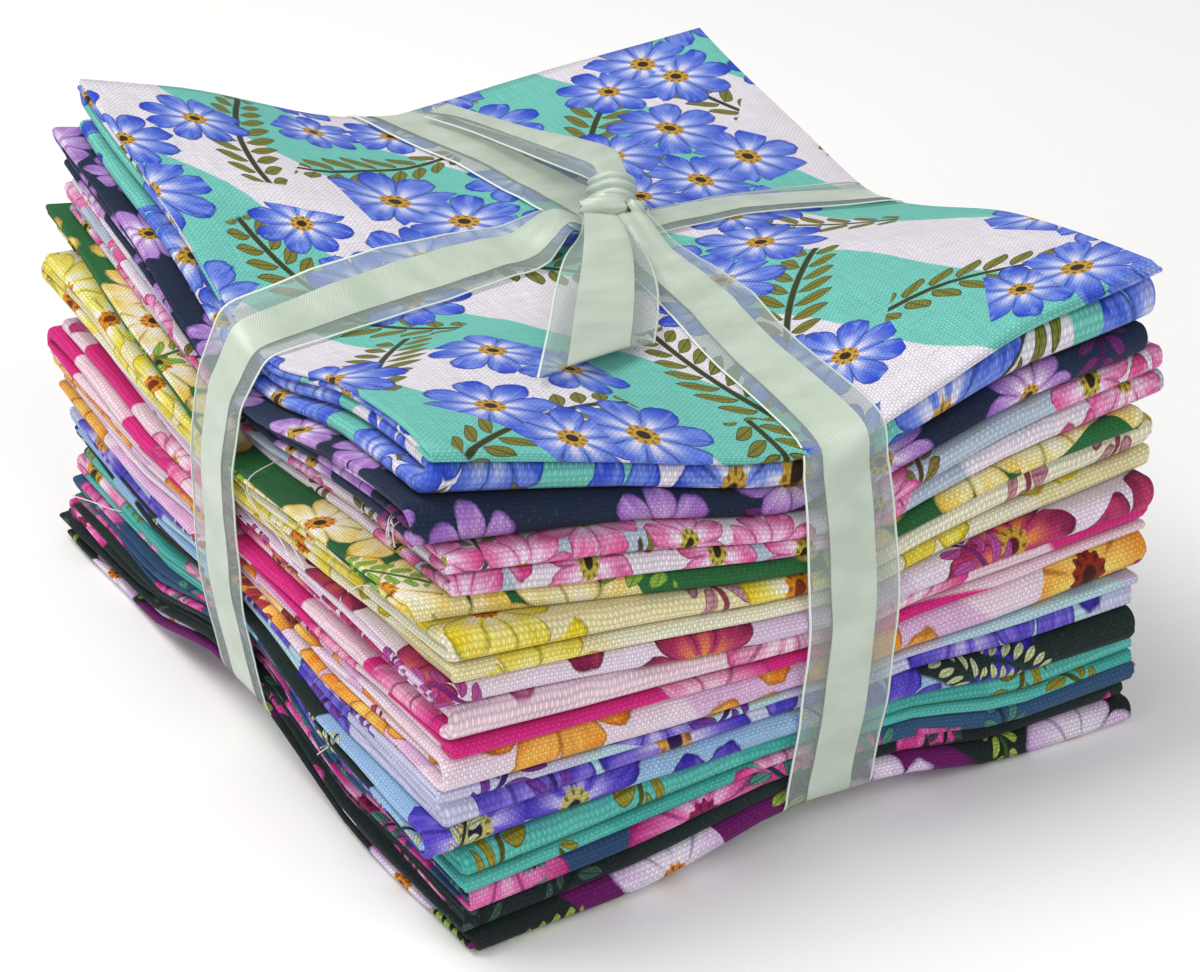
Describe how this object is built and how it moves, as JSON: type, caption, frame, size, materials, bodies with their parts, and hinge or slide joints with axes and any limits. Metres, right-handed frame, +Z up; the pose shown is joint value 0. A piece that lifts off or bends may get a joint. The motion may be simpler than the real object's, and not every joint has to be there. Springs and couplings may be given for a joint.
{
  "type": "fat quarter bundle",
  "caption": "Stack of folded quilting cotton fat quarters in mixed prints, tied both ways with sheer-edged satin ribbon and knotted on top.",
  "frame": {"origin": "on the surface that the bundle stands on, under the middle of its box", "axes": "+Z up; +Y from the front, where the round folds face out, to the back; +X along the front folds"},
  "size_m": [0.1288, 0.1512, 0.08],
  "materials": {
    "cotton_01": "plain-weave quilting cotton, white and aqua with blue flowers",
    "cotton_02": "plain-weave quilting cotton, navy with lilac flowers",
    "cotton_03": "plain-weave quilting cotton, pale grey-blue with pink flowers",
    "cotton_04": "plain-weave quilting cotton, green with pale yellow flowers",
    "cotton_05": "plain-weave quilting cotton, cream with yellow flowers",
    "cotton_06": "plain-weave quilting cotton, lilac with magenta flowers",
    "cotton_07": "plain-weave quilting cotton, pale pink with hot pink",
    "cotton_08": "plain-weave quilting cotton, pink-lilac with orange flowers",
    "cotton_09": "plain-weave quilting cotton, pale lavender with violet",
    "cotton_10": "plain-weave quilting cotton, light blue with dark green and violet",
    "cotton_11": "plain-weave quilting cotton, teal with olive and white",
    "cotton_12": "plain-weave quilting cotton, magenta and dark blue",
    "cotton_13": "plain-weave quilting cotton, nearly black green with slate",
    "cotton_14": "plain-weave quilting cotton, dark with lime, orange and purple",
    "ribbon": "pale green satin ribbon with a sheer band along each edge"
  },
  "bodies": {
    "root": {"fat_quarter_01": "cotton_01", "fat_quarter_02": "cotton_02", "fat_quarter_03": "cotton_03", "fat_quarter_04": "cotton_04", "fat_quarter_05": "cotton_05", "fat_quarter_06": "cotton_06", "fat_quarter_07": "cotton_07", "fat_quarter_08": "cotton_08", "fat_quarter_09": "cotton_09", "fat_quarter_10": "cotton_10", "fat_quarter_11": "cotton_11", "fat_quarter_12": "cotton_12", "fat_quarter_13": "cotton_13", "fat_quarter_14": "cotton_14", "ribbon": "ribbon"}
  },
  "joints": []
}
